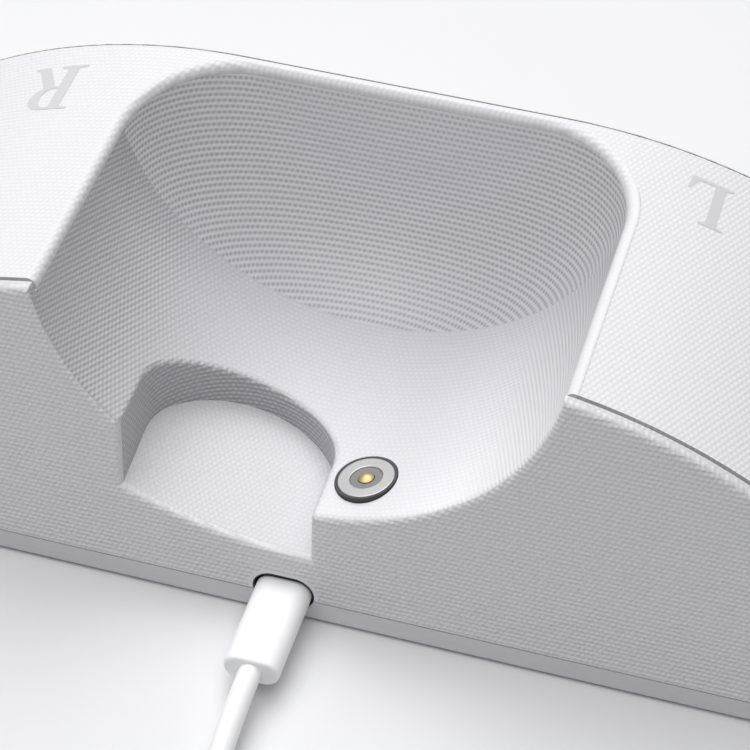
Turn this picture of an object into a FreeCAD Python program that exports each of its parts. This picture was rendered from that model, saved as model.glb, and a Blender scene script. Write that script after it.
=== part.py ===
import FreeCAD, Part
import os
from math import asin, atan, cos, degrees, pi, sin, sqrt, tan

V = FreeCAD.Vector

# A charging dock: an arched housing with a cup-shaped cradle cut into its port side, a sprung charging
# contact in the cradle's floor, and a cable in the port at the foot of the wall.
# Millimetres. X runs along the dock, +Y points at the user, -Y at the port wall, Z is up.
# The origin is on the table, under the middle of the housing.

# Housing
base_depth = 76.5         # port wall to user wall, at the underside
crown_height = 63.5       # top of the arch above the underside
crown_half = 29.5         # half of the level stretch on top of the arch
shoulder_r = 96.0         # radius of the arch on both sides of the level stretch
wall_lean = 0.081         # both long walls lean inwards by this much per mm of height
wall = 1.8                # port wall and user wall
edge_round = 1.4          # round on the long walls' top edges
seam_height = 4.4         # height of the seam between the base plate and the housing
seam_gap = 0.3            # width of that seam
foot_gap = 0.6            # the underside stands this far off the table

# Cover on top of the arch
cover_t = 2.0
port_seam = 0.8           # seam between the cover and the port wall
user_seam = 0.35          # and between the cover and the user wall
cover_seat_gap = 0.05     # between the cover and the edges below it
user_edge = 0.9           # the user wall's edge beside the cover
rim_round = 1.6           # rolled rim of the cradle's opening
rim_edge = 0.4            # least of the cover's thickness left under the rim

# Cradle, a cup lying on its side with its mouth in the port wall
cradle_r = 46.0
cradle_axis_over = 7.3    # the cup's axis lies this far above the top of the arch
back_strip = 3.0          # housing left behind the cup's flat end, at the top of the arch
cradle_corner = 19.3      # round between the cup's side and its flat end
cradle_wall = 2.0
lip_round = 1.2           # round on the cradle's and the recess's front edges

# Recess in the cradle's floor
recess_left = -30.5
recess_right = 3.6
recess_depth = 27.8       # from the foot of the port wall to the recess's far end
recess_corner = 10.5      # round of its far corners
recess_bow = 19.0         # radius of its far side, between the corners
recess_foot = 15.0        # lowest part of its floor above the underside, at the port wall
recess_floor_x = 4.0      # place of that lowest part
recess_floor_r = 85.0     # round of the floor
recess_rise = 0.14        # the floor climbs by this much per mm away from the port wall

# Ribs, shelf and bosses inside
rib_x = (58.0, 97.0)
rib_t = 2.2
rib_foot = 12.0           # lower edge of the ribs
shelf_top = 26.5
shelf_t = 2.5
seat_height = 6.5         # base plate's posts meet the housing's bosses here
boss_r = 3.3
post_r = 2.6
boss_y = 20.0
post_x = 77.0
post_y = 14.0

# Screws
screw_r = 1.15
screw_head_r = 2.4
screw_head_t = 1.5
screw_length = 10.0
screw_play = 0.05         # around the thread in its boss
screw_room = 0.3          # around the shank and the head in their holes

# Base plate and feet
floor_t = 1.8
foot_r = 5.0
foot_t = 1.4
foot_inset = 11.0         # from the base plate's edges to the foot's middle
foot_room = 0.2
underside_round = 0.5

# Port and plug
port_x = -1.15
port_z = 5.5
port_width = 11.3
port_height = 7.4
port_rise = 0.38          # the port's middle lies this far above the plug's
liner_t = 0.25            # dark sleeve in the port
liner_inset = 0.3         # from the port wall's outside
mould_width = 10.1
mould_height = 6.0
mould_length = 18.9
mould_inside = 0.7        # the moulding goes this far into the port
mould_round = 0.7
tip_width = 8.25
tip_height = 2.4
tip_length = 6.65
tip_wall = 0.55
socket_play = 0.05
socket_wall = 0.3
socket_length = 7.2
tongue_t = 0.7
tongue_width = 6.6
tongue_length = 4.4

# Board
board_t = 1.0
board_width = 34.0
board_depth = 22.0
board_setback = 1.4       # the board's edge stands back from the socket's mouth
peg_r = 0.9
peg_play = 0.1
peg_inset = 2.2
chip_side = 5.0
chip_t = 0.9
coil_side = 6.2
coil_t = 3.2
capacitor_r = 2.5
capacitor_t = 5.4
header_size = (5.6, 4.2, 4.2)
chip_at = (-3.0, 12.0)    # from the middle of the dock and from the board's port edge
coil_at = (4.5, 16.0)
input_capacitor_at = (-5.2, 18.0)
output_capacitor_at = (-11.0, 18.0)
header_shift = 2.6        # from the contact, along X
header_inset = 15.5       # from the board's port edge

# Contact in the cradle's floor
contact_x = 10.7
contact_inset = 11.75     # from the foot of the port wall
contact_lean = 4.7        # degrees, towards the user, so that the contact's port side stands higher
flange_r = 5.5
flange_t = 1.0            # below the cradle's floor
flange_proud = 0.5        # above it
flange_room = 0.15
sleeve_r = 4.6
sleeve_depth = 7.0
sleeve_bore = 4.0
ring_r = 5.05
ring_bore = 2.87
ring_sink = 0.6           # the ring lies this deep in the sleeve
ring_proud = 0.6          # and stands this far above the cradle's floor
fit = 0.04                # between the contact's nested pieces
magnet_t = 4.0
insulator_proud = 0.35
insulator_lip = 0.4       # closes over the barrel's end
barrel_r = 1.95
barrel_bore = 1.72
barrel_mouth = 1.5
barrel_lip = 0.5
barrel_floor = 0.6
pin_r = 1.4
pin_dome_r = 2.0
pin_collar_r = 1.64
pin_collar_t = 1.2
pin_proud = 0.5           # above the ring
spring_r = 1.3
spring_wire = 0.13
spring_turns = 5
pad_depth = 3.4           # pad under the cradle's floor, for the nut
nut_r = 5.5
nut_t = 1.8
disc_r = 5.2
disc_t = 0.8
lead_r = 0.6
lead_apart = 2.5
lead_start = 3.5          # straight stretch under the contact
lead_end = 4.5            # and above the header

# Cable
cord_d = 4.2
coil_mid_r = 23.0
coil_across = 4           # strands side by side
coil_layers = 2
layer_rise = 4.3
tie_width = 5.0
tie_t = 1.2
tail_length = 24.0
far_mould_size = (30.0, 15.4, 7.2)
far_shell_size = (18.6, 12.0, 4.5)
far_shell_wall = 0.4
cord_level = 7.45         # the cable leaves the plug level as far as this, then falls
cord_down = 20.45         # and from here it lies on the table
cord_sway = (0.4, 30.45)
cord_straight = 40.45
cord_to_coil = 49.45

# Levels and places that follow
under_z = foot_gap
seam_z = under_z + seam_height
rim_z = seam_z - seam_gap / 2
body_z = seam_z + seam_gap / 2
crown_z = under_z + crown_height
shoulder_z = crown_z - shoulder_r
cup_z = crown_z + cradle_axis_over
port_foot = -base_depth / 2
cradle_far = base_depth / 2 - wall_lean * crown_height - back_strip
recess_far = port_foot + recess_depth
contact_y = port_foot + contact_inset
floor_z = under_z + floor_t
shelf_z = shelf_top - shelf_t
out = base_depth


def port_y(z):
    """Outside of the port wall at a height. The user wall mirrors it."""
    return port_foot + wall_lean * (z - under_z)


def arch_end(z, inset=0.0):
    """Half length of the arch at a height, for the arch drawn in by an inset."""
    r = shoulder_r - inset
    return crown_half + sqrt(r * r - (z - shoulder_z) ** 2)


base_half = arch_end(seam_z)


def box(x0, x1, y0, y1, z0, z1):
    return Part.makeBox(x1 - x0, y1 - y0, z1 - z0, V(x0, y0, z0))


def rod(r, z0, z1, x=0.0, y=0.0):
    return Part.makeCylinder(r, z1 - z0, V(x, y, z0))


def ring(r_out, r_in, z0, z1):
    return rod(r_out, z0, z1).cut(rod(r_in, z0 - 1, z1 + 1))


def line(a, b):
    return Part.LineSegment(a, b).toShape()


def arc(a, b, c):
    return Part.Arc(a, b, c).toShape()


def face(edges):
    return Part.Face(Part.Wire(edges))


def arch_prism(inset, z):
    """The arched outline from a height upwards, drawn in by an inset, through the whole depth."""
    r = shoulder_r - inset
    top = crown_z - inset
    end = arch_end(z, inset)
    half = 0.5 * (pi / 2 - atan((z - shoulder_z) / (end - crown_half)))
    mid_x = crown_half + r * sin(half)
    mid_z = shoulder_z + r * cos(half)
    a = V(-end, -out, z)
    b = V(-crown_half, -out, top)
    c = V(crown_half, -out, top)
    d = V(end, -out, z)
    edges = [arc(a, V(-mid_x, -out, mid_z), b), line(b, c), arc(c, V(mid_x, -out, mid_z), d), line(d, a)]
    return face(edges).extrude(V(0, 2 * out, 0))


def lean_prism(y_low, y_high, z0, z1):
    """A bar along X between two leaning planes, each given as a function of height."""
    corners = [V(-2 * out, y_low(z0), z0), V(-2 * out, y_high(z0), z0)]
    corners += [V(-2 * out, y_high(z1), z1), V(-2 * out, y_low(z1), z1)]
    return Part.Face(Part.makePolygon(corners + corners[:1])).extrude(V(4 * out, 0, 0))


def between_walls(port_inset, user_inset, z0, z1):
    return lean_prism(lambda z: port_y(z) + port_inset, lambda z: -port_y(z) - user_inset, z0, z1)


def arched(inset, port_inset, user_inset, z):
    """The housing's outer form, drawn in by an inset at the arch and at each long wall."""
    return arch_prism(inset, z).common(between_walls(port_inset, user_inset, z, crown_z + 1))


def cup(extra):
    """The cradle's hollow, or its outside where extra is the cradle's wall."""
    r = cradle_r + extra
    far = cradle_far + extra
    corner = cradle_corner + extra
    a = V(0, -out, cup_z)
    b = V(0, -out, cup_z - r)
    c = V(0, far - corner, cup_z - r)
    mid = V(0, far - corner + corner * sin(pi / 4), cup_z - r + corner * (1 - cos(pi / 4)))
    d = V(0, far, cup_z - r + corner)
    e = V(0, far, cup_z)
    half = face([line(a, b), line(b, c), arc(c, mid, d), line(d, e), line(e, a)])
    return half.revolve(V(0, 0, cup_z), V(0, 1, 0), 360)


def recess(extra):
    """The recess in the cradle's floor, or its outside: upright walls over a round, climbing floor."""
    left = recess_left - extra
    right = recess_right + extra
    middle = (left + right) / 2
    corner = min(recess_corner, 0.9 * (recess_right - recess_left) / 2)
    aside = (recess_right - recess_left) / 2 - corner
    bow = max(recess_bow, corner + aside)
    bow_y = recess_far - bow
    lean = asin(aside / (bow - corner))
    corner_y = bow_y + (bow - corner) * cos(lean)

    def round_corner(side, turn):
        """A point on one of the far corners, turned away from the far end."""
        r = corner + extra
        return V(middle + side * (aside + r * sin(turn)), corner_y + r * cos(turn), seam_z)

    points = [round_corner(-1, turn) for turn in (pi / 2, (pi / 2 + lean) / 2, lean)]
    points.append(V(middle, recess_far + extra, seam_z))
    points += [round_corner(1, turn) for turn in (lean, (pi / 2 + lean) / 2, pi / 2)]
    start = V(left, -out, seam_z)
    end = V(right, -out, seam_z)
    edges = [line(start, points[0])] + [arc(*points[k:k + 3]) for k in (0, 2, 4)]
    plan = face(edges + [line(points[6], end), line(end, start)])
    upright = plan.extrude(V(0, 0, cup_z - seam_z))
    along = V(0, 1, recess_rise)
    axis = V(recess_floor_x, port_y(seam_z), under_z + recess_foot + recess_floor_r)
    return upright.common(Part.makeCylinder(recess_floor_r + extra, 3 * out, axis - along * out, along))


def edges_where(shape, test):
    """Edges whose ends and middle all pass a test."""
    found = []
    for edge in shape.Edges:
        first, last = edge.ParameterRange
        points = [edge.valueAt(first + (last - first) * k / 4) for k in range(5)]
        if all(test(p) for p in points):
            found.append(edge)
    return found


def on_arch(p):
    rise = shoulder_r if abs(p.x) < crown_half else sqrt(shoulder_r ** 2 - (abs(p.x) - crown_half) ** 2)
    return abs(p.z - shoulder_z - rise) < 0.01


def on_cup(p):
    r = sqrt(p.x ** 2 + (p.z - cup_z) ** 2)
    start = cradle_far - cradle_corner
    if p.y < start:
        return abs(r - cradle_r) < 0.01
    if abs(p.y - cradle_far) < 0.01:
        return r < cradle_r - cradle_corner + 0.01
    reach = sqrt(max(cradle_corner ** 2 - (p.y - start) ** 2, 0))
    return abs(r - (cradle_r - cradle_corner) - reach) < 0.01


def on_port_wall(p):
    return abs(p.y - port_y(p.z)) < 0.01


def in_recess(p):
    inside = recess_left - 0.01 < p.x < recess_right + 0.01
    return inside and p.y < recess_far + 0.01 and p.z > seam_z + 5


def on_lip(p):
    """Front edges of the cradle and the recess, and the edge between the two."""
    if on_port_wall(p):
        return on_cup(p) or in_recess(p)
    return on_cup(p) and in_recess(p)


# Contact's own frame: its origin on the cradle's floor, its axis square to the floor but for its lean
contact_tilt = degrees(atan(contact_x / sqrt(cradle_r ** 2 - contact_x ** 2)))
contact_at = V(contact_x, contact_y, cup_z - sqrt(cradle_r ** 2 - contact_x ** 2))
contact_turn = FreeCAD.Rotation(V(0, 1, 0), -contact_tilt).multiply(FreeCAD.Rotation(V(1, 0, 0), -contact_lean))
contact_frame = FreeCAD.Placement(contact_at, contact_turn)


def in_contact_frame(shape):
    placed = shape.copy()
    placed.Placement = contact_frame.multiply(placed.Placement)
    return placed


def stadium(width, height, y0, y1, z=port_z):
    """A bar along Y with round sides, as the port and its plug have."""
    r = height / 2
    x0 = port_x - width / 2 + r
    x1 = port_x + width / 2 - r
    low = z - r
    high = z + r
    edges = [line(V(x0, y0, low), V(x1, y0, low)), arc(V(x1, y0, low), V(x1 + r, y0, z), V(x1, y0, high))]
    edges += [line(V(x1, y0, high), V(x0, y0, high)), arc(V(x0, y0, high), V(x0 - r, y0, z), V(x0, y0, low))]
    return face(edges).extrude(V(0, y1 - y0, 0))


# Places of the screws, posts and feet
base_screw_spots = [(sx * rib_x[0], sy * boss_y) for sx in (-1, 1) for sy in (-1, 1)]
base_screw_spots += [(-rib_x[1], 0.0), (rib_x[1], 0.0)]
cover_screw_spots = [(sx * post_x, sy * post_y) for sx in (-1, 1) for sy in (-1, 1)]
foot_spots = {}
for side, sx in (("left", -1), ("right", 1)):
    for end, sy in (("port", -1), ("user", 1)):
        foot_spots[end + "_" + side] = (sx * (base_half - foot_inset), sy * (base_depth / 2 - foot_inset))

socket_y = port_y(port_z) + mould_inside + 0.15
board_y = socket_y + board_setback
board_top = port_z - tip_height / 2 - socket_play - socket_wall
board_z = board_top - board_t
peg_spots = [(sx * (board_width / 2 - peg_inset), board_y + along) for sx in (-1, 1)
             for along in (peg_inset + 1.0, board_depth - peg_inset)]
port_hole = stadium(port_width, port_height, -out, port_y(port_z) + wall + 1.0, port_z + port_rise)


def make_outer_form():
    """The housing's whole outside, with its long walls' top edges rounded."""
    form = arched(0, 0, 0, body_z)
    return form.makeFillet(edge_round, edges_where(form, lambda p: on_arch(p) and abs(abs(p.y) + port_y(p.z)) < 0.01))


def make_body_shell():
    """Both long walls, the cradle between them, ribs, shelves and screw bosses, in one moulding."""
    top = cup_z + cradle_axis_over
    port = lean_prism(port_y, lambda z: port_y(z) + wall, body_z, top)
    user = lean_prism(lambda z: -port_y(z) - wall, lambda z: -port_y(z), body_z, top)
    back = Part.makeCylinder(cradle_r - cradle_corner, out, V(0, cradle_far - 1, cup_z), V(0, 1, 0))
    pad = in_contact_frame(rod(nut_r + 0.2, -pad_depth, -flange_t))
    inside = cup(cradle_wall).multiFuse([recess(cradle_wall), back, pad])
    inside = inside.common(between_walls(0, wall / 2, body_z, top))
    cradle = port.fuse(inside).cut(cup(0)).cut(recess(0)).removeSplitter()
    cradle = cradle.makeFillet(lip_round, edges_where(cradle, on_lip))
    frame = []
    for sx in (-1, 1):
        for x in rib_x:
            frame.append(box(sx * x - rib_t / 2, sx * x + rib_t / 2, -out, out, rib_foot, crown_z))
        ends = sorted((sx * rib_x[0], sx * rib_x[1]))
        frame.append(box(ends[0], ends[1], -out, out, shelf_z, shelf_top))
    frame = frame[0].multiFuse(frame[1:]).cut(cup(cradle_wall / 2))
    frame = frame.common(between_walls(wall / 2, wall / 2, rib_foot, crown_z))
    bosses = [rod(boss_r, seat_height, seat_height + screw_length, x, y) for x, y in base_screw_spots]
    shell = cradle.multiFuse([user, frame] + bosses).common(make_outer_form())
    under_cover = arched(0, wall, user_edge, body_z).cut(arch_prism(cover_t + cover_seat_gap, body_z - 1))
    holes = [under_cover, port_hole]
    holes.append(in_contact_frame(rod(flange_r + flange_room, -flange_t, 3)))
    holes.append(in_contact_frame(rod(sleeve_r + fit, -sleeve_depth, 3)))
    for x, y in base_screw_spots:
        holes.append(rod(screw_r + screw_play, seat_height - 1, seat_height + screw_length - 2, x, y))
    for x, y in cover_screw_spots:
        holes.append(rod(screw_r + screw_room, shelf_z - 1, shelf_top + 1, x, y))
    for hole in holes:
        shell = shell.cut(hole)
    return shell.removeSplitter()


def make_top_cover():
    """The arched skin between the long walls, with the cradle's rolled rim and four screw posts."""
    skin = arched(0, wall + port_seam, user_edge + user_seam, body_z)
    skin = skin.cut(arch_prism(cover_t, body_z - 1)).cut(cup(0))
    strip = back_strip - user_edge - user_seam
    rolled = min(rim_round, cover_t - rim_edge, 0.9 * strip)
    skin = skin.makeFillet(rolled, edges_where(skin, lambda p: on_arch(p) and on_cup(p)))
    posts = [rod(post_r, shelf_top, crown_z, x, y) for x, y in cover_screw_spots]
    posts = posts[0].multiFuse(posts[1:]).common(arch_prism(cover_t / 2, body_z))
    cover = skin.fuse(posts)
    depth = screw_length - shelf_t + 1
    for x, y in cover_screw_spots:
        cover = cover.cut(rod(screw_r + screw_play, shelf_top - 1, shelf_top + depth, x, y))
    return cover.removeSplitter()


def make_base_plate():
    """A shallow tray with screw posts, board pegs, foot pockets and the lower half of the port."""
    block = between_walls(0, 0, under_z, rim_z).common(box(-base_half, base_half, -out, out, under_z, rim_z))
    low = edges_where(block, lambda p: abs(p.z - under_z) < 0.01)
    tray = block.makeFillet(underside_round, low)
    hollow = between_walls(wall, wall, floor_z, rim_z + 1)
    tray = tray.cut(hollow.common(box(wall - base_half, base_half - wall, -out, out, floor_z, rim_z + 1)))
    posts = [rod(boss_r, under_z + 1, seat_height, x, y) for x, y in base_screw_spots]
    for x, y in peg_spots:
        posts.append(rod(peg_r + 1.0, under_z + 1, board_z, x, y))
        posts.append(rod(peg_r, under_z + 1, board_top + 0.6, x, y))
    tray = tray.multiFuse(posts)
    head_top = under_z + screw_head_t + 0.9
    for x, y in base_screw_spots:
        tray = tray.cut(rod(screw_head_r + screw_room, under_z - 1, head_top, x, y))
        tray = tray.cut(rod(screw_r + screw_room, under_z, seat_height + 1, x, y))
    for x, y in foot_spots.values():
        tray = tray.cut(rod(foot_r + foot_room, under_z - 1, foot_t, x, y))
    return tray.cut(port_hole).removeSplitter()


def make_screw(seat_z, x, y):
    """A screw driven upwards: its head hangs below the seat, with a cross recess."""
    head_z = seat_z - screw_head_t
    screw = rod(screw_head_r, head_z, seat_z, x, y).fuse(rod(screw_r, seat_z, seat_z + screw_length - 1, x, y))
    slot = screw_head_r * 0.55
    for a, b in ((slot, 0.3), (0.3, slot)):
        screw = screw.cut(box(x - a, x + a, y - b, y + b, head_z - 1, head_z + 0.7))
    return screw.removeSplitter()


def make_board():
    y1 = board_y + board_depth
    board = box(-board_width / 2, board_width / 2, board_y, y1, board_z, board_top)
    for x, y in peg_spots:
        board = board.cut(rod(peg_r + peg_play, board_z - 1, board_top + 1, x, y))
    return board


def make_socket_shell():
    inner_w = tip_width + 2 * socket_play
    inner_h = tip_height + 2 * socket_play
    outer = stadium(inner_w + 2 * socket_wall, inner_h + 2 * socket_wall, socket_y, socket_y + socket_length)
    return outer.cut(stadium(inner_w, inner_h, socket_y - 1, socket_y + socket_length - socket_wall))


def make_socket_tongue():
    back = socket_y + socket_length - socket_wall
    low = port_z - tongue_t / 2
    half = tongue_width / 2
    return box(port_x - half, port_x + half, back - tongue_length, back, low, low + tongue_t)


def make_port_liner():
    y0 = port_y(port_z) + liner_inset
    y1 = port_y(port_z) + wall + liner_inset
    z = port_z + port_rise
    inner = 2 * (fit + liner_t)
    liner = stadium(port_width - 2 * fit, port_height - 2 * fit, y0, y1, z)
    return liner.cut(stadium(port_width - inner, port_height - inner, y0 - 1, y1 + 1, z))


def make_capacitor(x, inset):
    can = rod(capacitor_r, board_top, board_top + capacitor_t, x, board_y + inset)
    top = edges_where(can, lambda p: abs(p.z - board_top - capacitor_t) < 0.01)
    return can.makeFillet(0.4, top)


def make_on_board(x, inset, width, depth, height, round_r):
    y = board_y + inset
    part = box(x - width / 2, x + width / 2, y - depth / 2, y + depth / 2, board_top, board_top + height)
    upright = [e for e in part.Edges if abs(e.tangentAt(e.FirstParameter).z) > 0.9]
    return part.makeFillet(round_r, upright)


# Contact pieces, in the contact's own frame
def make_contact_sleeve():
    sleeve = rod(flange_r, -flange_t, flange_proud).fuse(rod(sleeve_r, -sleeve_depth, -flange_t))
    sleeve = sleeve.cut(rod(ring_r + fit, -ring_sink, 1))
    return sleeve.cut(rod(sleeve_bore, -sleeve_depth - 1, 1)).removeSplitter()


def make_contact_ring():
    washer = ring(ring_r, ring_bore, -ring_sink, ring_proud)
    return washer.makeFillet(0.2, edges_where(washer, lambda p: abs(p.z - ring_proud) < 0.01))


def make_insulator():
    """A sleeve round the barrel that closes over its end, open for the pin."""
    sleeve = rod(ring_bore - fit, -sleeve_depth, insulator_proud)
    sleeve = sleeve.cut(rod(barrel_r + fit, -sleeve_depth - 1, insulator_proud - insulator_lip))
    return sleeve.cut(rod(barrel_mouth, -1, insulator_proud + 1))


barrel_top = insulator_proud - insulator_lip - fit


def make_barrel():
    barrel = rod(barrel_r, -sleeve_depth, barrel_top)
    lip_z = barrel_top - barrel_lip
    barrel = barrel.cut(rod(barrel_bore, barrel_floor - sleeve_depth, lip_z))
    return barrel.cut(rod(barrel_mouth, lip_z - 1, barrel_top + 1))


collar_top = barrel_top - barrel_lip - fit
collar_foot = collar_top - pin_collar_t


def make_pin():
    """The plunger: a domed head through the barrel's mouth and a collar held under its lip."""
    tip = ring_proud + pin_proud
    shoulder = tip - pin_dome_r + sqrt(pin_dome_r ** 2 - pin_r ** 2)
    dome = Part.makeSphere(pin_dome_r, V(0, 0, tip - pin_dome_r)).common(rod(pin_r, shoulder, tip))
    stem = rod(pin_r, collar_top - 0.1, shoulder).fuse(dome)
    return stem.fuse(rod(pin_collar_r, collar_foot, collar_top)).removeSplitter()


def make_spring():
    low = barrel_floor - sleeve_depth + spring_wire + 0.02
    high = collar_foot - spring_wire - 0.02
    helix = Part.makeHelix((high - low) / spring_turns, high - low, spring_r)
    helix.translate(V(0, 0, low))
    section = Part.Wire(Part.makeCircle(spring_wire, V(spring_r, 0, low), V(0, 1, 0)))
    return Part.Wire(helix.Edges).makePipeShell([section], True, True)


# Cable
def tube(points, d, name):
    """A round tube along straight runs joined by arcs as large as the runs allow."""
    edges = []
    start = points[0]
    length = 0.0
    for before, here, after in zip(points, points[1:], points[2:]):
        back = before - here
        ahead = after - here
        turn = pi - back.getAngle(ahead)
        reach = 0.45 * min(back.Length, ahead.Length)
        r = reach / tan(turn / 2)
        back.normalize()
        ahead.normalize()
        middle = back + ahead
        middle.normalize()
        a = here + back * reach
        c = here + ahead * reach
        b = here + middle * (r / cos(turn / 2) - r)
        edges += [line(start, a), arc(a, b, c)]
        length += start.distanceToPoint(a) + r * turn
        start = c
        print(name, "bend radius", round(r, 1))
    edges.append(line(start, points[-1]))
    length += start.distanceToPoint(points[-1])
    circle = Part.Wire(Part.makeCircle(d / 2, points[0], points[1] - points[0]))
    solid = Part.Wire(edges).makePipeShell([circle], True, True)
    print(name, "length", round(length, 1), "volume ratio", round(solid.Volume / (pi * d * d / 4 * length), 4))
    return solid


mould_y = port_y(port_z) + mould_inside - mould_length
cord_r = cord_d / 2
coil_half = coil_across * cord_d / 2
coil_top = cord_d + (coil_layers - 1) * layer_rise
coil_x = port_x + coil_mid_r + coil_half - cord_r
coil_y = mould_y - cord_to_coil
cord_route = [(port_x, mould_y - along, port_z) for along in (0, cord_level)]
cord_route += [(port_x, mould_y - cord_down, cord_r), (port_x + cord_sway[0], mould_y - cord_sway[1], cord_r)]
cord_route += [(port_x, mould_y - along, cord_r) for along in (cord_straight, cord_to_coil)]
tail_start = V(coil_x, coil_y - coil_mid_r - coil_half - cord_r, cord_r)
far_z = far_mould_size[2] / 2


def make_coil():
    """The put-away length: strands side by side and in layers, as one ring of their outer shape."""
    section = box(-coil_half, coil_half, 0, 1, 0, coil_top)
    section = section.makeFillet(cord_r - 0.05, [e for e in section.Edges if abs(e.tangentAt(e.FirstParameter).y) > 0.9])
    section.translate(V(coil_mid_r, 0, 0))
    flat = [f for f in section.Faces if abs(f.CenterOfMass.y) < 0.01][0]
    coil = flat.revolve(V(0, 0, 0), V(0, 0, 1), 360)
    coil.translate(V(coil_x, coil_y, 0))
    return coil


def make_tie():
    """A strap round the coil's section."""
    half = coil_half + 0.3
    top = coil_top + 0.3
    strap = box(-half - tie_t, half + tie_t, -tie_width / 2, tie_width / 2, 0, top + tie_t)
    strap = strap.makeFillet(tie_t, [e for e in strap.Edges if abs(e.tangentAt(e.FirstParameter).y) > 0.9])
    strap = strap.cut(box(-half, half, -tie_width, tie_width, tie_t / 2, top))
    strap.translate(V(coil_x + coil_mid_r, coil_y, 0))
    return strap


def make_far_mould():
    length, width, height = far_mould_size
    x0 = tail_start.x + tail_length
    mould = box(x0, x0 + length, tail_start.y - width / 2, tail_start.y + width / 2, 0, height)
    long_edges = [e for e in mould.Edges if abs(e.tangentAt(e.FirstParameter).x) > 0.9]
    return mould.makeFillet(mould_round * 2, long_edges)


def make_far_shell():
    length, width, height = far_shell_size
    x0 = tail_start.x + tail_length + far_mould_size[0]
    y0 = tail_start.y - width / 2
    low = far_z - height / 2
    w = far_shell_wall
    shell = box(x0, x0 + length, y0, y0 + width, low, low + height)
    hollow = box(x0 + 2, x0 + length + 1, y0 + w, y0 + width - w, low + w, low + height - w)
    tongue = box(x0 + 2, x0 + length - 1, y0 + w, y0 + width - w, low + w, far_z)
    return shell.cut(hollow).fuse(tongue).removeSplitter()


def make_plug_mould():
    mould = stadium(mould_width, mould_height, mould_y, mould_y + mould_length)
    ends = edges_where(mould, lambda p: abs(p.y - mould_y) < 0.01)
    return mould.makeFillet(mould_round, ends)


def make_plug_tip():
    y0 = mould_y + mould_length
    tip = stadium(tip_width, tip_height, y0, y0 + tip_length)
    return tip.cut(stadium(tip_width - 2 * tip_wall, tip_height - 2 * tip_wall, y0 + 1.2, y0 + tip_length + 1))


def make_lead(side):
    """A wire from the disc under the contact down to the header on the board."""
    down = contact_frame.Rotation.multVec(V(0, 0, -1))
    foot = contact_frame.multVec(V(side * lead_apart / 2, 0, -sleeve_depth - disc_t))
    x = header_at[0] + side * lead_apart / 2
    top = board_top + header_size[2]
    points = [foot, foot + down * lead_start, V(x, header_at[1], top + lead_end), V(x, header_at[1], top)]
    return tube(points, 2 * lead_r, "lead")


header_at = (contact_x + header_shift, board_y + header_inset)
parts = {"body_shell": make_body_shell(), "top_cover": make_top_cover(), "base_plate": make_base_plate()}
for name, (x, y) in foot_spots.items():
    foot = rod(foot_r, 0, foot_t, x, y)
    parts["foot_" + name] = foot.makeFillet(0.4, edges_where(foot, lambda p: p.z < 0.01))
base_seat = under_z + screw_head_t + 0.9
parts["base_screws"] = Part.makeCompound([make_screw(base_seat, x, y) for x, y in base_screw_spots])
parts["cover_screws"] = Part.makeCompound([make_screw(shelf_z, x, y) for x, y in cover_screw_spots])
parts["main_board"] = make_board()
parts["usb_socket_shell"] = make_socket_shell()
parts["usb_socket_tongue"] = make_socket_tongue()
parts["port_liner"] = make_port_liner()
parts["power_chip"] = make_on_board(*chip_at, chip_side, chip_side, chip_t, 0.2)
parts["power_coil"] = make_on_board(*coil_at, coil_side, coil_side, coil_t, 1.2)
parts["input_capacitor"] = make_capacitor(*input_capacitor_at)
parts["output_capacitor"] = make_capacitor(*output_capacitor_at)
parts["lead_header"] = make_on_board(header_at[0], header_inset, *header_size, 0.3)
in_frame = {"contact_sleeve": make_contact_sleeve(), "contact_ring": make_contact_ring()}
in_frame["contact_nut"] = ring(nut_r, sleeve_r + fit, -pad_depth - nut_t, -pad_depth)
in_frame["ring_magnet"] = ring(sleeve_bore - fit, ring_bore + fit, -ring_sink - magnet_t, -ring_sink)
in_frame["contact_insulator"] = make_insulator()
in_frame["contact_barrel"] = make_barrel()
in_frame["contact_pin"] = make_pin()
in_frame["pin_spring"] = make_spring()
in_frame["contact_disc"] = rod(disc_r, -sleeve_depth - disc_t, -sleeve_depth)
for name, shape in in_frame.items():
    parts[name] = in_contact_frame(shape)
parts["lead_negative"] = make_lead(-1)
parts["lead_positive"] = make_lead(1)
parts["plug_mould"] = make_plug_mould()
parts["plug_tip"] = make_plug_tip()
parts["charge_cord"] = tube([V(*p) for p in cord_route], cord_d, "cord")
parts["cord_coil"] = make_coil()
parts["cord_tie"] = make_tie()
parts["cord_tail"] = Part.makeCylinder(cord_r, tail_length, tail_start, V(1, 0, 0))
parts["far_plug_mould"] = make_far_mould()
parts["far_plug_shell"] = make_far_shell()

os.makedirs("parts", exist_ok=True)
for name, shape in parts.items():
    solids = len(shape.Solids)
    print(name, "valid", shape.isValid(), "solids", solids, "volume", round(shape.Volume, 1))
    shape.exportStep("parts/" + name + ".step")
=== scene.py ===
from math import asin, cos, pi, radians, sin, sqrt

import bmesh
import bpy
from mathutils import Matrix, Vector


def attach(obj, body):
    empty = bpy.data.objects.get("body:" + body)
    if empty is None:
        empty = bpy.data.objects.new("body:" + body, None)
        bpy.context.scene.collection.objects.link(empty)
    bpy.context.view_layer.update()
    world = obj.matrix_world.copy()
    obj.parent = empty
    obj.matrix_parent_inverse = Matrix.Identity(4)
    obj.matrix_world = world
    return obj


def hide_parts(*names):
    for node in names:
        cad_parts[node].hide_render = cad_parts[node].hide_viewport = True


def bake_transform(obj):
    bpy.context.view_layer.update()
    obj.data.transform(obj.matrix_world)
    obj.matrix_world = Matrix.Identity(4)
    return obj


# A white charging dock with a moulded dot grain, a cup-shaped cradle, a sprung contact and a cable.
# Objects are in metres, in the model's frame: +X along the dock, +Y towards the user, Z up.
# The wall with the cable's port is on the side of -Y.

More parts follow.
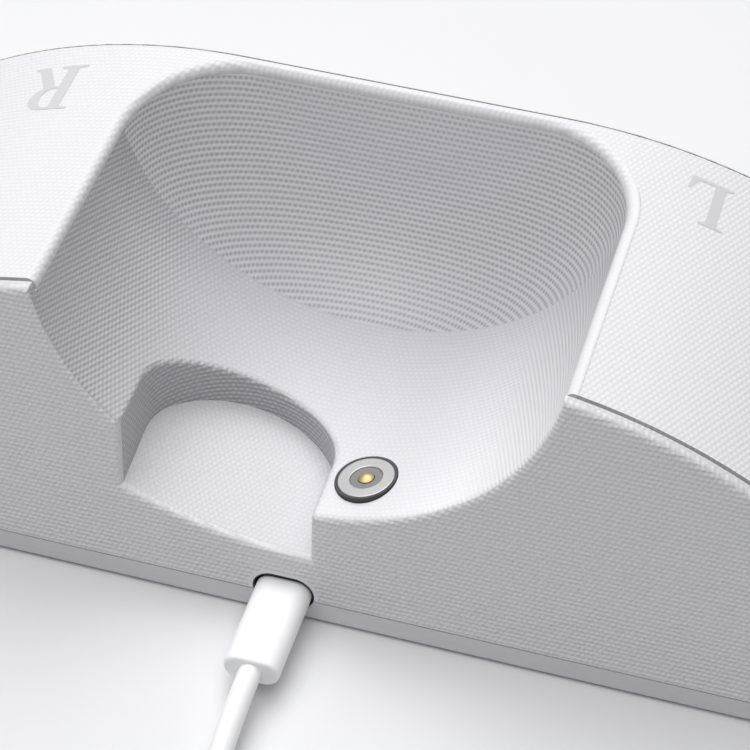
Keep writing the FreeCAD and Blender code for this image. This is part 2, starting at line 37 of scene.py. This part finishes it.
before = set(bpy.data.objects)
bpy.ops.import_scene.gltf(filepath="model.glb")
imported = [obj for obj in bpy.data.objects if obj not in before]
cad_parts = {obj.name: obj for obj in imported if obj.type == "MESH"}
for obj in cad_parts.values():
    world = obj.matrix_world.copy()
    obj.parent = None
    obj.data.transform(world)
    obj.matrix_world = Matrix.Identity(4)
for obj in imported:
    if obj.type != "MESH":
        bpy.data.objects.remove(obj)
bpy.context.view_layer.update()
scene = bpy.context.scene
MM = 0.001

# Sizes of the dock that the pieces and the grain follow, in millimetres; the walls' lean is a slope
CROWN_Z = 64.1
CROWN_HALF = 29.5
SHOULDER_R = 96.0
SHOULDER_Z = CROWN_Z - SHOULDER_R
CUP_R = 46.0
CUP_Z = 71.4
CUP_CORNER = 19.3
CUP_CORNER_Y = 10.8
CUP_END_Y = CUP_CORNER_Y + CUP_CORNER
RECESS_X = -13.45
RECESS_Y = -26.0
RECESS_R = 15.0
LIP_R = 1.2
CONTACT_X = 10.7
CONTACT_Y = -26.5
PORT_X = -1.15
PORT_Z = 5.5
PORT_MIDDLE_Z = 5.88
PORT_HALF = 1.95
PORT_R = 3.7
WALL_FOOT_Y = 38.25
WALL_LEAN = 0.081
UNDER_Z = 0.6


def in_scene(name, data):
    """A new object of the scene, made of the data."""
    made = bpy.data.objects.new(name, data)
    scene.collection.objects.link(made)
    return made


def mesh_piece(name, shape):
    """A new object from a bmesh, which is used up."""
    data = bpy.data.meshes.new(name)
    shape.to_mesh(data)
    shape.free()
    return in_scene(name, data)


def dress(piece, finish):
    piece.data.materials.clear()
    piece.data.materials.append(finish)


# The photograph's view: from the port side, a little to the right, looking down
VIEW_PLACE = (0.10562, -0.34026, 0.39042)
VIEW_RIGHT = (0.9584, 0.28543, 0.0)
VIEW_UP = (-0.20492, 0.68805, 0.69613)
VIEW_LENS = 137.44


def camera():
    right = Vector(VIEW_RIGHT)
    up = Vector(VIEW_UP)
    back = right.cross(up).normalized()
    up = back.cross(right).normalized()
    right.normalize()
    data = bpy.data.cameras.new("view")
    data.lens = VIEW_LENS
    data.sensor_width = 36.0
    data.clip_start = 0.01
    data.clip_end = 50.0
    made = in_scene("view", data)
    turn = Matrix((right, up, back)).transposed().to_4x4()
    made.matrix_world = Matrix.Translation(VIEW_PLACE) @ turn
    scene.camera = made


camera()


# Cable: the route out of the plug, then a neat two-layer coil out of view, then the tail to the far plug.
# Millimetres and degrees.
CORD_D = 4.2
CORD_ROUTE = [(PORT_X, -56.053, PORT_Z), (PORT_X, -63.503, PORT_Z), (PORT_X, -76.503, 2.1),
              (PORT_X + 0.4, -86.503, 2.1), (PORT_X, -96.503, 2.1)]
COIL_CENTRE = (28.15, -105.503)
COIL_OUTER = 29.3
COIL_START = 180.0
COIL_STEP = 18.0
TURNS_IN = 3
TURNS_OUT = 2.5
LAYER_RISE = 4.3
CLIMB_TUCK = 0.9
TAIL_R = 33.5
TAIL_LENGTH = 24.0
TAIL_PARTS = (0.0, 0.33, 0.66, 1.0)

# Parts of the climbing half turn and of the last quarter turn at which their moves begin or end
TUCK_END = 2 / 3
CLIMB_START = 0.15
SPREAD_END = 0.8
DROP_START = 0.45


def ease(t, start=0.0, end=1.0):
    """0 up to start, 1 from end on, eased between."""
    t = min(max((t - start) / (end - start), 0.0), 1.0)
    return t * t * (3 - 2 * t)


def coil_points():
    """Three turns inwards on the table, half a turn up, two and a half turns outwards on top, and down."""
    low = CORD_D / 2
    inner = COIL_OUTER - TURNS_IN * CORD_D
    tucked = inner - CLIMB_TUCK
    outer = tucked + TURNS_OUT * CORD_D

    def inwards(t):
        return COIL_OUTER + (inner - COIL_OUTER) * t, low

    def climb(t):
        tuck = CLIMB_TUCK * sin(min(t / TUCK_END, 1) * pi / 2)
        return inner - tuck, low + LAYER_RISE * ease(t, start=CLIMB_START)

    def outwards(t):
        return tucked + (outer - tucked) * t, low + LAYER_RISE

    def down(t):
        r = outer + (TAIL_R - outer) * ease(t, end=SPREAD_END)
        return r, low + LAYER_RISE * (1 - ease(t, start=DROP_START))

    points = []
    start = COIL_START
    for sweep, place in ((360 * TURNS_IN, inwards), (180, climb), (360 * TURNS_OUT, outwards), (90, down)):
        count = round(sweep / COIL_STEP)
        for k in range(count):
            r, z = place(k / count)
            a = radians(start + sweep * k / count)
            points.append((COIL_CENTRE[0] + r * cos(a), COIL_CENTRE[1] + r * sin(a), z))
        start += sweep
    return points


def cable():
    tail_y = COIL_CENTRE[1] - TAIL_R
    tail = [(COIL_CENTRE[0] + TAIL_LENGTH * part, tail_y, CORD_D / 2) for part in TAIL_PARTS]
    route = CORD_ROUTE + coil_points() + tail
    curve = bpy.data.curves.new("charging_cable", "CURVE")
    curve.dimensions = "3D"
    curve.bevel_depth = CORD_D / 2 * MM
    curve.bevel_resolution = 5
    curve.resolution_u = 6
    curve.use_fill_caps = True
    spline = curve.splines.new("NURBS")
    spline.points.add(len(route) - 1)
    for point, (x, y, z) in zip(spline.points, route):
        point.co = (x * MM, y * MM, z * MM, 1.0)
    spline.order_u = 3
    spline.use_endpoint_u = True
    return in_scene("charging_cable", curve)


cord = cable()


# Shader maths
class Value:
    """A value on a surface. Sums, products and comparisons of values add the nodes they need."""

    def __init__(self, tree, socket):
        self.tree = tree
        self.socket = socket

    def other(self, name):
        return Value(self.tree, self.socket.node.outputs[name])

    def math(self, operation, *others):
        sockets = dict(enumerate((self, *others)))
        return self.tree.node("ShaderNodeMath", {"operation": operation}, sockets)

    def __add__(self, value):
        return self.math("ADD", value)

    __radd__ = __add__

    def __sub__(self, value):
        return self.math("SUBTRACT", value)

    def __rsub__(self, value):
        return self * -1.0 + value

    def __mul__(self, value):
        return self.math("MULTIPLY", value)

    __rmul__ = __mul__

    def __truediv__(self, value):
        return self.math("DIVIDE", value)

    def __lt__(self, value):
        return self.math("LESS_THAN", value)

    def __gt__(self, value):
        return self.math("GREATER_THAN", value)

    def __abs__(self):
        return self.math("ABSOLUTE")

    def least(self, value):
        return self.math("MINIMUM", value)

    def most(self, value):
        return self.math("MAXIMUM", value)

    def fade(self, start, end):
        """0 at start, 1 at end, eased between."""
        sockets = {"Value": self, "From Min": start, "From Max": end}
        return self.tree.node("ShaderNodeMapRange", {"interpolation_type": "SMOOTHSTEP"}, sockets)


def hypotenuse(a, b):
    return (a * a + b * b).math("SQRT")


class Tree:
    """A node tree that nodes are added to."""

    def __init__(self, node_tree):
        self.nodes = node_tree.nodes
        self.links = node_tree.links

    def node(self, kind, settings, sockets, output=0):
        made = self.nodes.new(kind)
        for name, value in settings.items():
            setattr(made, name, value)
        for name, value in sockets.items():
            self.feed(made.inputs[name], value)
        return Value(self, made.outputs[output])

    def feed(self, socket, value):
        if isinstance(value, Value):
            self.links.new(value.socket, socket)
        elif socket.type == "RGBA" and len(value) == 3:
            socket.default_value = (*value, 1.0)
        else:
            socket.default_value = value


# The Mix node's sockets for colours go by number, because its other kinds of mix share their names
FIRST_COLOUR = 6
SECOND_COLOUR = 7
MIXED_COLOUR = 2


class Finish(Tree):
    """A material: constants on the shader, and nodes for what changes over the surface."""

    def __init__(self, name, colour, roughness, **constants):
        self.material = bpy.data.materials.new(name)
        self.material.use_nodes = True
        super().__init__(self.material.node_tree)
        self.shader = self.nodes["Principled BSDF"]
        self.colour = colour
        self.feed(self.shader.inputs["Base Color"], colour)
        self.roughen(roughness)
        for socket, value in constants.items():
            self.feed(self.shader.inputs[socket.replace("_", " ")], value)
        self.place = None

    def spot(self):
        """The place on the surface, in millimetres of the model's frame."""
        if self.place is None:
            metres = self.node("ShaderNodeTexCoord", {}, {}, "Object")
            sockets = {0: metres, "Scale": 1 / MM}
            self.place = self.node("ShaderNodeVectorMath", {"operation": "SCALE"}, sockets)
        return self.place

    def millimetres(self):
        """X, Y and Z of the place on the surface."""
        x = self.node("ShaderNodeSeparateXYZ", {}, {0: self.spot()})
        return x, x.other("Y"), x.other("Z")

    def facing(self):
        """The shares of X and Z in the surface's own direction, in the model's frame."""
        turned = self.node("ShaderNodeTexCoord", {}, {}, "Normal")
        x = self.node("ShaderNodeSeparateXYZ", {}, {0: turned})
        return x, x.other("Z")

    def mottle(self, per_mm, detail=2.0):
        """Soft noise between 0 and 1, as so many grains in a millimetre."""
        sockets = {"Vector": self.spot(), "Scale": per_mm, "Detail": detail}
        return self.node("ShaderNodeTexNoise", {}, sockets)

    def tint(self, amount, colour):
        """Base colour that goes over to another colour by an amount."""
        sockets = {"Factor": amount, FIRST_COLOUR: self.colour, SECOND_COLOUR: colour}
        mixed = self.node("ShaderNodeMix", {"data_type": "RGBA"}, sockets, MIXED_COLOUR)
        self.feed(self.shader.inputs["Base Color"], mixed)

    def roughen(self, value):
        self.feed(self.shader.inputs["Roughness"], value)

    def emboss(self, height, depth_mm):
        """Relief from a height between -1 and 1, so many millimetres deep."""
        bump = self.node("ShaderNodeBump", {}, {"Height": height, "Distance": depth_mm * MM})
        self.feed(self.shader.inputs["Normal"], bump)


# White grained plastic of the housing, the cover and the base, with the grain's depths in millimetres
HOUSING_WHITE = (0.795, 0.792, 0.83)
# Grey the white goes towards, for its own tone and for painted shade
TONE_AND_SHADE_GREY = (0.25, 0.248, 0.272)
HOUSING_DEPTH = 0.09
COVER_DEPTH = 0.055
BASE_DEPTH = 0.03
PATCHES_PER_MM = 0.12

# Dots and rows in a millimetre, where they aren't 1 mm apart; the far end's rows go by height and by depth
ARCH_DOTS = 0.97
RECESS_DOTS = 1.05
RECESS_ROWS = 1.19
FAR_ROWS_UP = 0.77
FAR_ROWS_BACK = 0.58

# A place that is nearer to a face than the skin, in millimetres, is on it
SKIN = 0.3

# Shares of an axis in a face's direction: an upright face has less of Z, a face along an axis more of it
UPRIGHT = 0.6
ALONG_AXIS = 0.7

# Shares of Z between which a wall goes over to its ledge, and the cradle's side to its floor
LEDGE_TURN = (0.35, 0.75)
FLOOR_TURN = (0.6, 0.9)

# Places along X between which the shade of the cradle's side leaves its left and reaches its right part
LEFT_PART_X = (-38.0, -5.0)
RIGHT_PART_X = (12.0, 34.0)

# Smooth frame round the port: its width, and where it is whole
FRAME_WIDTH = 0.9
FRAME_WHOLE = 0.75

# Smooth rim along the cradle's right side, with a fine line beside it: its width, and where it comes in
RIM_WIDTH = 1.9
RIM_LINE_HALF = 0.1
RIM_X = (20.0, 30.0)
RIM_Y = (22.0, 17.0)


def white_plastic(name):
    return Finish(name, HOUSING_WHITE, 0.45, Specular_IOR_Level=0.3)


def dot_grain(u, v, rows, lean):
    """Height of the staggered dots, 1 mm apart, between -1 and 1.

    rows is the part that runs on along the rows; lean draws the dots out towards one of the two diagonals.
    """
    falling = (2 * pi * u - pi * v).math("COSINE")
    rising = (2 * pi * u + pi * v).math("COSINE")
    across = falling * (1 + lean) + rising * (1 - lean)
    return rows * (2 * pi * v).math("COSINE") + 0.5 * (1 - rows) * across


def finish_grain(finish, height, depth_mm, shade):
    """Dots as relief that slowly changes in depth, on a white that a shade between 0 and 1 darkens."""
    slow = finish.mottle(PATCHES_PER_MM)
    finish.emboss(height * (0.85 + 0.3 * slow), depth_mm)
    finish.tint(shade.least(1.0).most(0.0), TONE_AND_SHADE_GREY)
    finish.roughen(0.40 + 0.1 * slow)


def off_cup(x, y, z):
    """Distance from the cradle's surface, outwards."""
    around = (hypotenuse(x, CUP_Z - z) - (CUP_R - CUP_CORNER)).most(0.0)
    along = (y - CUP_CORNER_Y).most(0.0)
    return hypotenuse(around, along) - CUP_CORNER


def far_end_grain(x, y, z):
    """Across and up on the cradle's far end: round the corner's turn, and by height and depth."""
    drop = CUP_Z - z
    r = hypotenuse(x, drop)
    flat_r = CUP_R - CUP_CORNER
    turn = (r - flat_r).most(0.0).math("ARCTAN2", (y - CUP_CORNER_Y).most(0.0))
    across = x * (r.least(flat_r) + CUP_CORNER * turn) / r
    return across, FAR_ROWS_UP * z + FAR_ROWS_BACK * (y - CUP_END_Y) * drop / r


def housing_zones(x, y, z, up):
    """Masks of the housing's faces, on which the grain and the shade change."""
    wall_y = WALL_FOOT_Y - WALL_LEAN * (z - UNDER_Z)
    walls = abs(y) > wall_y - SKIN
    cup = (off_cup(x, y, z) < SKIN) * (1 - walls)
    far = cup * (y > CUP_CORNER_Y)
    side = cup - far
    recess = (1 - cup) * (wall_y - abs(y) > LIP_R)
    recess_wall = recess * (abs(up) < UPRIGHT)
    beside_port = (abs(x - PORT_X) - PORT_HALF).most(0.0)
    from_port = hypotenuse(beside_port, z - PORT_MIDDLE_Z) - PORT_R
    return {
        "walls": walls,
        "ledge": walls * up.fade(*LEDGE_TURN),
        "port_frame": from_port.fade(FRAME_WIDTH, FRAME_WHOLE) * walls * (y < 0),
        "far": far,
        "side": side,
        "cup_floor": side * up.fade(*FLOOR_TURN),
        "recess_wall": recess_wall,
        "recess_floor": recess - recess_wall,
        "lips": 1 - walls - cup - recess,
    }


def by_zone(zones, base, **changes):
    """A value that is the base, changed by so much on each zone that is named."""
    total = base
    for name, change in changes.items():
        total = total + change * zones[name]
    return total


def side_shade(x, y):
    """Shade on the cradle's side: it deepens towards the far end and is weaker on the right."""
    off_left = x.fade(*LEFT_PART_X)
    to_right = x.fade(*RIGHT_PART_X)
    per_mm = 0.0096 * off_left + 0.006 * to_right
    return 0.35 + y * per_mm + 0.01 * y.most(0.0) * (1 - off_left) - 0.1 * to_right


def far_shade(aside, up):
    """Shade on the cradle's far end: it deepens towards the floor and in the corners, most on the right."""
    return 0.53 * up + 0.18 * abs(aside) - 0.04 * aside - 0.045


def housing_finish():
    """Grain that runs along X and up the walls, round the cradle's side, and level round its far corner.

    On the far end its depth and its tint change sign: the dots there are dark and stand in.
    """
    finish = white_plastic("housing")
    x, y, z = finish.millimetres()
    aside, up = finish.facing()
    zones = housing_zones(x, y, z, up)
    side_arc = CUP_R * x.math("ARCTAN2", CUP_Z - z)
    recess_arc = RECESS_R * (x - RECESS_X).math("ARCTAN2", y - RECESS_Y)
    far_u, far_v = far_end_grain(x, y, z)
    u = by_zone(zones, x, side=side_arc - x, far=far_u - x, recess_wall=recess_arc - x,
                recess_floor=(RECESS_DOTS - 1) * x)
    v = by_zone(zones, z, side=y - z, far=far_v - z, recess_floor=RECESS_ROWS * y - z, lips=-1.0 * y)
    rows = by_zone(zones, 0.56, recess_floor=-0.21, side=-0.46, cup_floor=0.35)
    lean = by_zone(zones, 0.0, walls=0.47, far=0.12, side=0.15)
    strength = (1 - zones["ledge"]) * (1 - zones["port_frame"]) * (1 - 0.6 * zones["cup_floor"])
    dots = dot_grain(u, v, rows, lean) * strength
    deep = by_zone(zones, 1.0, walls=0.1, side=-0.2, far=-1.5, recess_floor=-0.5)
    # Painted shade in the grain's hollows; on the far end, where the dots stand in, it darkens the dots
    hollow_shade = by_zone(zones, 0.06, walls=0.11, recess_wall=0.2, side=0.1, far=0.2 * up - 0.48)
    # Tone 0.2, with painted shade in the cradle and recess and painted light on the port's frame
    shade = by_zone(zones, 0.2, side=side_shade(x, y), far=far_shade(aside, up), recess_wall=0.44,
                    recess_floor=0.15, port_frame=-0.07)
    height = by_zone(zones, dots * deep, port_frame=0.6)
    finish_grain(finish, height, HOUSING_DEPTH, shade - dots * hollow_shade)
    return finish.material


def cover_finish():
    """Grain along and across the arch, faint on the cradle's rolled rim, which a fine line sets off."""
    finish = white_plastic("cover")
    x, y, z = finish.millimetres()
    from_rim = off_cup(x, y, z)
    right_side = x.fade(*RIM_X) * y.fade(*RIM_Y)
    rim = right_side * from_rim.fade(RIM_WIDTH + RIM_LINE_HALF, RIM_WIDTH - RIM_LINE_HALF)
    line = right_side * (abs(from_rim - RIM_WIDTH) < RIM_LINE_HALF)
    over = (abs(x) - CROWN_HALF).most(0.0) / SHOULDER_R
    round_arch = x + x.math("SIGN") * SHOULDER_R * (over.math("ARCSINE") - over)
    dots = dot_grain(ARCH_DOTS * round_arch, y, rows=0.45, lean=0.35) * (1 - 0.8 * rim)
    # Painted shade in the grain's hollows over a tone of 0.2, and the fine line darker
    finish_grain(finish, dots - 0.6 * line, COVER_DEPTH, 0.2 - 0.09 * dots + 0.2 * line)
    return finish.material


def base_finish():
    """A fainter grain, laid along the sides, the ends and the underside."""
    finish = white_plastic("base")
    x, y, z = finish.millimetres()
    aside, up = finish.facing()
    ends = abs(aside) > ALONG_AXIS
    flat = abs(up) > ALONG_AXIS
    dots = dot_grain(x + ends * (y - x), z + flat * (y - z), rows=0.5, lean=0.0)
    # Faint painted shade in the grain's hollows, over a tone of 0.36
    finish_grain(finish, 0.3 * dots, BASE_DEPTH, 0.36 - 0.02 * dots)
    return finish.material


# Other finishes; the waves of turned rings, board weave and strap pile are in radians a millimetre
RING_WAVE = 46.0
WEAVE_WAVE = 9.0
PILE_WAVE = 8.0


def cable_finish():
    """Smooth moulded cable white with a faint sheen."""
    finish = Finish("cable_white", (0.86, 0.86, 0.865), 0.36, Specular_IOR_Level=0.4)
    slow = finish.mottle(0.4)
    fine = finish.mottle(9.0, detail=3.0)
    finish.tint(0.25 * slow, (0.80, 0.80, 0.81))
    finish.roughen(0.30 + 0.12 * fine)
    finish.emboss(fine, depth_mm=0.006)
    return finish.material


def speckled(name, colour, specks, roughness, per_mm, depth_mm, metal=0.0):
    """A plain moulded or pressed finish: fine speckle in colour, gloss and relief."""
    finish = Finish(name, colour, roughness, Metallic=metal)
    fine = finish.mottle(per_mm, detail=3.0)
    slow = finish.mottle(per_mm / 12)
    finish.tint(0.6 * fine + 0.4 * slow, specks)
    finish.roughen(roughness - 0.08 + 0.16 * fine)
    finish.emboss(fine, depth_mm)
    return finish.material


def turned_metal(name, colour, dark, roughness):
    """Metal turned about the contact's leaning axis: fine rings in its gloss and relief."""
    finish = Finish(name, colour, roughness, Metallic=1.0)
    x, y, z = finish.millimetres()
    lean = asin(CONTACT_X / CUP_R)
    seat_z = CUP_Z - CUP_R * cos(lean)
    across = (x - CONTACT_X) * cos(lean) + (z - seat_z) * sin(lean)
    rings = (hypotenuse(across, y - CONTACT_Y) * RING_WAVE).math("SINE")
    fine = finish.mottle(6.0, detail=3.0)
    finish.tint(0.6 * fine, dark)
    finish.roughen(roughness - 0.05 + 0.04 * rings + 0.1 * fine)
    finish.emboss(0.6 * rings + 0.4 * fine, depth_mm=0.004)
    return finish.material


def laminate():
    """Board laminate with a weave under its lacquer and paler tracks."""
    finish = Finish("board_laminate", (0.02, 0.13, 0.06), 0.35, Coat_Weight=0.3)
    x, y = finish.millimetres()[:2]
    weave = (x * WEAVE_WAVE).math("SINE") * (y * WEAVE_WAVE).math("SINE")
    tracks = (x + 0.4 * finish.mottle(0.25)).math("PINGPONG", 0.9) < 0.16
    finish.tint(0.6 * tracks + 0.06 * weave + 0.06, (0.06, 0.26, 0.13))
    finish.roughen(0.32 + 0.06 * weave)
    finish.emboss(0.8 * tracks + 0.2 * weave, depth_mm=0.02)
    return finish.material


def tie_finish():
    """A grey hook-and-loop strap: a short pile in rows."""
    finish = Finish("tie_grey", (0.30, 0.30, 0.32), 0.85, Sheen_Weight=0.4)
    y = finish.millimetres()[1]
    rows = (y * PILE_WAVE).math("SINE")
    pile = finish.mottle(5.0, detail=4.0)
    finish.tint(0.7 * pile + 0.1 * rows + 0.1, (0.17, 0.17, 0.19))
    finish.roughen(0.78 + 0.15 * pile)
    finish.emboss(0.5 * rows + pile, depth_mm=0.12)
    return finish.material


def mark_finish():
    """Pale grey print on the cover."""
    finish = Finish("side_mark", (0.53, 0.53, 0.55), 0.5, Specular_IOR_Level=0.3)
    fine = finish.mottle(3.0, detail=3.0)
    finish.tint(0.5 * fine, (0.58, 0.58, 0.60))
    finish.roughen(0.45 + 0.1 * fine)
    finish.emboss(fine, depth_mm=0.004)
    return finish.material


def wear(finish, *names):
    """Put a finish on the nodes that are named."""
    for name in names:
        dress(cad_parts[name], finish)


STEEL = speckled("bright_steel", (0.36, 0.36, 0.37), (0.28, 0.28, 0.30), 0.36, 3.0, 0.004, metal=1.0)
GOLD = turned_metal("contact_gold", (0.46, 0.36, 0.20), (0.38, 0.29, 0.15), 0.5)
CABLE_WHITE = cable_finish()

wear(housing_finish(), "body_shell")
wear(cover_finish(), "top_cover")
wear(base_finish(), "base_plate")
wear(speckled("foot_rubber", (0.16, 0.16, 0.165), (0.22, 0.22, 0.225), 0.8, 2.5, 0.03),
     "foot_port_left", "foot_port_right", "foot_user_left", "foot_user_right")
wear(STEEL, "base_screws", "cover_screws", "usb_socket_shell", "plug_tip", "far_plug_shell", "pin_spring")
wear(CABLE_WHITE, "plug_mould", "far_plug_mould")
wear(tie_finish(), "cord_tie")
wear(speckled("liner_black", (0.012, 0.012, 0.014), (0.025, 0.025, 0.028), 0.6, 3.0, 0.008),
     "port_liner")

# Board and its components
wear(laminate(), "main_board")
wear(speckled("tongue_black", (0.02, 0.02, 0.022), (0.04, 0.04, 0.045), 0.5, 4.0, 0.01),
     "usb_socket_tongue")
wear(speckled("chip_black", (0.025, 0.025, 0.028), (0.05, 0.05, 0.055), 0.55, 6.0, 0.01),
     "power_chip")
wear(speckled("ferrite_grey", (0.07, 0.07, 0.075), (0.12, 0.12, 0.12), 0.65, 4.0, 0.02),
     "power_coil")
wear(speckled("can_aluminium", (0.68, 0.68, 0.69), (0.58, 0.58, 0.6), 0.3, 2.0, 0.004, metal=1.0),
     "input_capacitor", "output_capacitor")
wear(speckled("header_ivory", (0.72, 0.68, 0.58), (0.62, 0.58, 0.49), 0.5, 3.0, 0.01),
     "lead_header")
wear(speckled("lead_red", (0.50, 0.03, 0.03), (0.40, 0.02, 0.02), 0.45, 3.0, 0.006),
     "lead_positive")
wear(speckled("lead_black", (0.02, 0.02, 0.02), (0.04, 0.04, 0.04), 0.45, 3.0, 0.006),
     "lead_negative")

# Round contact
wear(GOLD, "contact_pin", "contact_barrel", "contact_disc")
wear(speckled("contact_black", (0.028, 0.028, 0.030), (0.045, 0.045, 0.048), 0.55, 4.0, 0.006),
     "contact_sleeve")
wear(turned_metal("contact_silver", (0.41, 0.41, 0.405), (0.35, 0.35, 0.35), 0.52),
     "contact_ring")
wear(speckled("insulator_grey", (0.16, 0.16, 0.165), (0.21, 0.21, 0.215), 0.5, 4.0, 0.006),
     "contact_insulator")
wear(turned_metal("nut_brass", (0.72, 0.55, 0.28), (0.55, 0.41, 0.20), 0.32),
     "contact_nut")
wear(speckled("magnet_nickel", (0.55, 0.55, 0.54), (0.47, 0.47, 0.46), 0.22, 1.5, 0.003, metal=1.0),
     "ring_magnet")

# The cable as a cord
dress(cord, CABLE_WHITE)
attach(cord, "dock")
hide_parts("charge_cord", "cord_coil", "cord_tail")


# Spring under the contact pin; corners of its mesh that are closer than the weld, in metres, are merged
WELD = 0.000001


def contact_spring():
    """A copy of the spring with its doubled corners merged, which stands in for the part's own spring."""
    coil = bmesh.new()
    coil.from_mesh(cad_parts["pin_spring"].data)
    bmesh.ops.remove_doubles(coil, verts=coil.verts, dist=WELD)
    made = mesh_piece("contact_spring", coil)
    dress(made, STEEL)
    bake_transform(made)
    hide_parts("pin_spring")


contact_spring()


# Side marks, printed on the cover for a reader on the user's side, in millimetres
MARK_LIFT = 0.04
DRAWN_HEIGHT = 10.5
CUT_STEP = 0.8
CUTS_EACH_SIDE = 7
SIDE_MARK = mark_finish()


def arch_z(x):
    rise = max(abs(x) - CROWN_HALF, 0.0)
    return SHOULDER_Z + sqrt(SHOULDER_R ** 2 - rise ** 2)


def bow(cx, cy, rx, ry, start, end, count=14):
    """Points along part of an ellipse, in degrees."""
    angles = [radians(start + (end - start) * k / count) for k in range(count + 1)]
    return [(cx + rx * cos(a), cy + ry * sin(a)) for a in angles]


LEFT_MARK = [[(0.2, 0), (8.3, 0), (8.7, 3.1), (8.2, 3.1), (6.9, 0.75), (3.7, 0.65), (3.7, 9.8), (5.0, 10.1),
              (5.0, 10.5), (0.2, 10.5), (0.2, 10.1), (1.6, 9.8), (1.6, 0.7), (0.2, 0.4)]]
RIGHT_MARK = [[(0, 0), (5.0, 0), (5.0, 0.4), (3.7, 0.7), (3.7, 4.9), (4.5, 4.9), (7.3, 0.3), (7.6, 0),
               (10.2, 0), (10.2, 0.4), (9.4, 0.6), (6.6, 5.2)] + bow(5.0, 7.75, 3.3, 2.75, -55, 90)
              + [(0, 10.5), (0, 10.1), (1.6, 9.8), (1.6, 0.7), (0, 0.4)],
              [(3.7, 9.85)] + bow(4.7, 7.65, 1.55, 2.2, 90, -90) + [(3.7, 5.45)]]


def side_mark(name, outlines, middle, size):
    """A letter from its outlines, stretched to a size, cut into strips and laid on the arch."""
    letter = bmesh.new()
    width, height = size
    wide = width / max(a for a, b in outlines[0])
    high = height / DRAWN_HEIGHT
    edges = []
    for outline in outlines:
        corners = [letter.verts.new((a * wide - width / 2, b * high - height / 2, 0)) for a, b in outline]
        edges += [letter.edges.new((p, q)) for p, q in zip(corners, corners[1:] + corners[:1])]
    bmesh.ops.triangle_fill(letter, use_beauty=True, edges=edges, normal=(0, 0, 1))
    for k in range(-CUTS_EACH_SIDE, CUTS_EACH_SIDE + 1):
        everything = letter.verts[:] + letter.edges[:] + letter.faces[:]
        bmesh.ops.bisect_plane(letter, geom=everything, plane_co=(CUT_STEP * k, 0, 0), plane_no=(1, 0, 0))
    for point in letter.verts:
        x = middle[0] - point.co.x
        y = middle[1] - point.co.y
        point.co = (x * MM, y * MM, (arch_z(x) + MARK_LIFT) * MM)
    for face in letter.faces:
        face.normal_update()
        if face.normal.z < 0:
            face.normal_flip()
        face.smooth = True
    made = mesh_piece(name, letter)
    dress(made, SIDE_MARK)
    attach(made, "dock")


side_mark("mark_right", RIGHT_MARK, middle=(-62.2, 20.3), size=(10.3, 12.5))
side_mark("mark_left", LEFT_MARK, middle=(56.9, 21.9), size=(7.9, 10.8))


# Table, light and view settings; the table's fade is in millimetres from the middle, the rest in metres
TABLE_R = 3.0
TABLE_GONE = 750.0
TABLE_WHOLE = 300.0
ROOM_LEVEL = 0.13
LAMP_AIM = (0.0, 0.0, 0.03)


def table_top():
    """A pale round table that fades away into the white room."""
    circle = bmesh.new()
    bmesh.ops.create_circle(circle, cap_ends=True, radius=TABLE_R, segments=96)
    made = mesh_piece("table_top", circle)
    finish = Finish("table_white", (0.72, 0.72, 0.73), 0.6, Specular_IOR_Level=0.2)
    finish.roughen(0.55 + 0.1 * finish.mottle(0.02))
    x, y = finish.millimetres()[:2]
    finish.feed(finish.shader.inputs["Alpha"], hypotenuse(x, y).fade(TABLE_GONE, TABLE_WHOLE))
    dress(made, finish.material)


def lamp(name, place, size, watts):
    data = bpy.data.lights.new(name, "AREA")
    data.shape = "DISK"
    data.size = size
    data.energy = watts
    made = in_scene(name, data)
    made.location = place
    made.rotation_mode = "QUATERNION"
    made.rotation_quaternion = (Vector(LAMP_AIM) - Vector(place)).to_track_quat("-Z", "Y")


def room():
    """Even light all round, which the camera, gloss and glass see as white."""
    world = bpy.data.worlds.new("room")
    world.use_nodes = True
    tree = Tree(world.node_tree)
    rays = tree.node("ShaderNodeLightPath", {}, {}, "Is Camera Ray")
    seen = rays.most(rays.other("Is Glossy Ray")).most(rays.other("Is Transmission Ray"))
    ground = tree.nodes["Background"]
    tree.feed(ground.inputs["Color"], (1.0, 1.0, 1.0))
    tree.feed(ground.inputs["Strength"], ROOM_LEVEL + (1 - ROOM_LEVEL) * seen)
    scene.world = world


table_top()
room()
lamp("window", place=(-0.15, 0.45, 0.85), size=0.8, watts=4.5)
lamp("ceiling", place=(-0.12, -0.12, 0.95), size=1.5, watts=11.0)

scene.view_settings.view_transform = "Standard"
